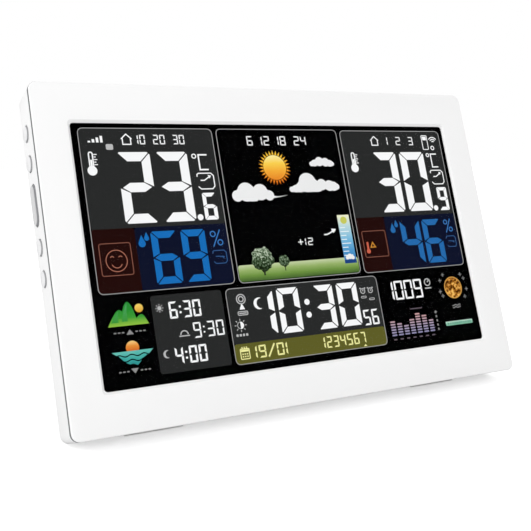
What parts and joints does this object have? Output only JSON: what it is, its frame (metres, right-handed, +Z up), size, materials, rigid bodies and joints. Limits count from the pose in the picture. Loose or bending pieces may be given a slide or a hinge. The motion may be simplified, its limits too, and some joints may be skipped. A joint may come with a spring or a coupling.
{
  "type": "home weather station",
  "caption": "Leaning desk console with a large lit display in a white frame, side keys with a tilting rocker, a rear battery door and a fold-out stand; shows weather, temperature and time.",
  "frame": {"origin": "middle of the footprint on the surface that the feet and the stand's pad rest on", "axes": "+X to the right as seen from the front, +Y to the back, +Z up"},
  "size_m": [0.1906, 0.0592, 0.1208],
  "materials": {
    "front_gloss_white": "gloss",
    "housing_satin_white": "satin, finely grained",
    "clear_window": "clear, gloss",
    "display_glass": "black, lit from behind",
    "clear_guide": "clear, gloss",
    "inner_white": "matte",
    "lamp_strip": "satin",
    "amber_film": "satin",
    "circuit_board": "lacquered",
    "black_moulding": "matte",
    "plain_steel": "satin",
    "nickel_plate": "bright",
    "copper_wire": "enamelled",
    "cell_wrap": "gloss",
    "pale_rubber": "matte"
  },
  "bodies": {
    "case": {"front_cover": "front_gloss_white", "window_lens": "clear_window", "lcd_glass": "display_glass", "light_guide": "clear_guide", "led_strip": "lamp_strip", "reflector_sheet": "inner_white", "backlight_tray": "inner_white", "display_ribbon": "amber_film", "rear_housing": "housing_satin_white", "main_board": "circuit_board", "main_chip": "black_moulding", "pressure_sensor": "plain_steel", "buzzer": "black_moulding", "receiver_board": "circuit_board", "antenna_coil": "copper_wire", "sensor_board": "circuit_board", "humidity_sensor": "inner_white", "dc_jack": "black_moulding", "key_board": "circuit_board", "tact_switch_1": "black_moulding", "tact_switch_2": "black_moulding", "tact_switch_3": "black_moulding", "tact_switch_4": "black_moulding", "tact_switch_5": "black_moulding", "tact_switch_6": "black_moulding", "rocker_pin": "plain_steel", "stand_pin": "plain_steel", "foot_left": "pale_rubber", "foot_right": "pale_rubber", "battery_cell_1": "cell_wrap", "battery_cell_2": "cell_wrap", "battery_cell_3": "cell_wrap", "battery_spring_1": "nickel_plate", "battery_spring_2": "nickel_plate", "battery_spring_3": "nickel_plate", "contact_plate_plus": "nickel_plate", "contact_plate_right": "nickel_plate", "contact_plate_left": "nickel_plate", "contact_plate_minus": "nickel_plate", "case_screw_1": "plain_steel", "case_screw_2": "plain_steel", "case_screw_3": "plain_steel", "case_screw_4": "plain_steel", "case_screw_5": "plain_steel", "case_screw_6": "plain_steel", "board_screw_1": "plain_steel", "board_screw_2": "plain_steel", "board_screw_3": "plain_steel", "board_screw_4": "plain_steel"},
    "stand": {"stand_leg": "housing_satin_white", "stand_pad": "pale_rubber"},
    "battery_door": {"battery_door": "housing_satin_white"},
    "key_1": {"key_1": "front_gloss_white"},
    "key_2": {"key_2": "front_gloss_white"},
    "key_3": {"key_3": "front_gloss_white"},
    "key_4": {"key_4": "front_gloss_white"},
    "rocker_key": {"rocker_key": "front_gloss_white"}
  },
  "joints": [
    {"name": "stand_fold", "type": "hinge", "parent": "case", "child": "stand", "pos_m": [0.00035, 0.0112, 0.05461], "axis": [1, 0, 0], "range_deg": [-35, 0]},
    {"name": "battery_door_open", "type": "hinge", "parent": "case", "child": "battery_door", "pos_m": [0.00035, 0.01637, 0.06085], "axis": [-1, 0, 0], "range_deg": [0, 80]},
    {"name": "key_1_press", "type": "slide", "parent": "case", "child": "key_1", "axis": [1, 0, 0], "range_m": [0, 0.0005], "stiffness_N_per_m": 300},
    {"name": "key_2_press", "type": "slide", "parent": "case", "child": "key_2", "axis": [1, 0, 0], "range_m": [0, 0.0005], "stiffness_N_per_m": 300},
    {"name": "key_3_press", "type": "slide", "parent": "case", "child": "key_3", "axis": [1, 0, 0], "range_m": [0, 0.0005], "stiffness_N_per_m": 300},
    {"name": "key_4_press", "type": "slide", "parent": "case", "child": "key_4", "axis": [1, 0, 0], "range_m": [0, 0.0005], "stiffness_N_per_m": 300},
    {"name": "rocker_tilt", "type": "hinge", "parent": "case", "child": "rocker_key", "pos_m": [-0.09085, 0.00636, 0.07875], "axis": [0, 0.943, -0.3328], "range_deg": [-4, 4], "stiffness_Nm_per_rad": 0.1}
  ]
}
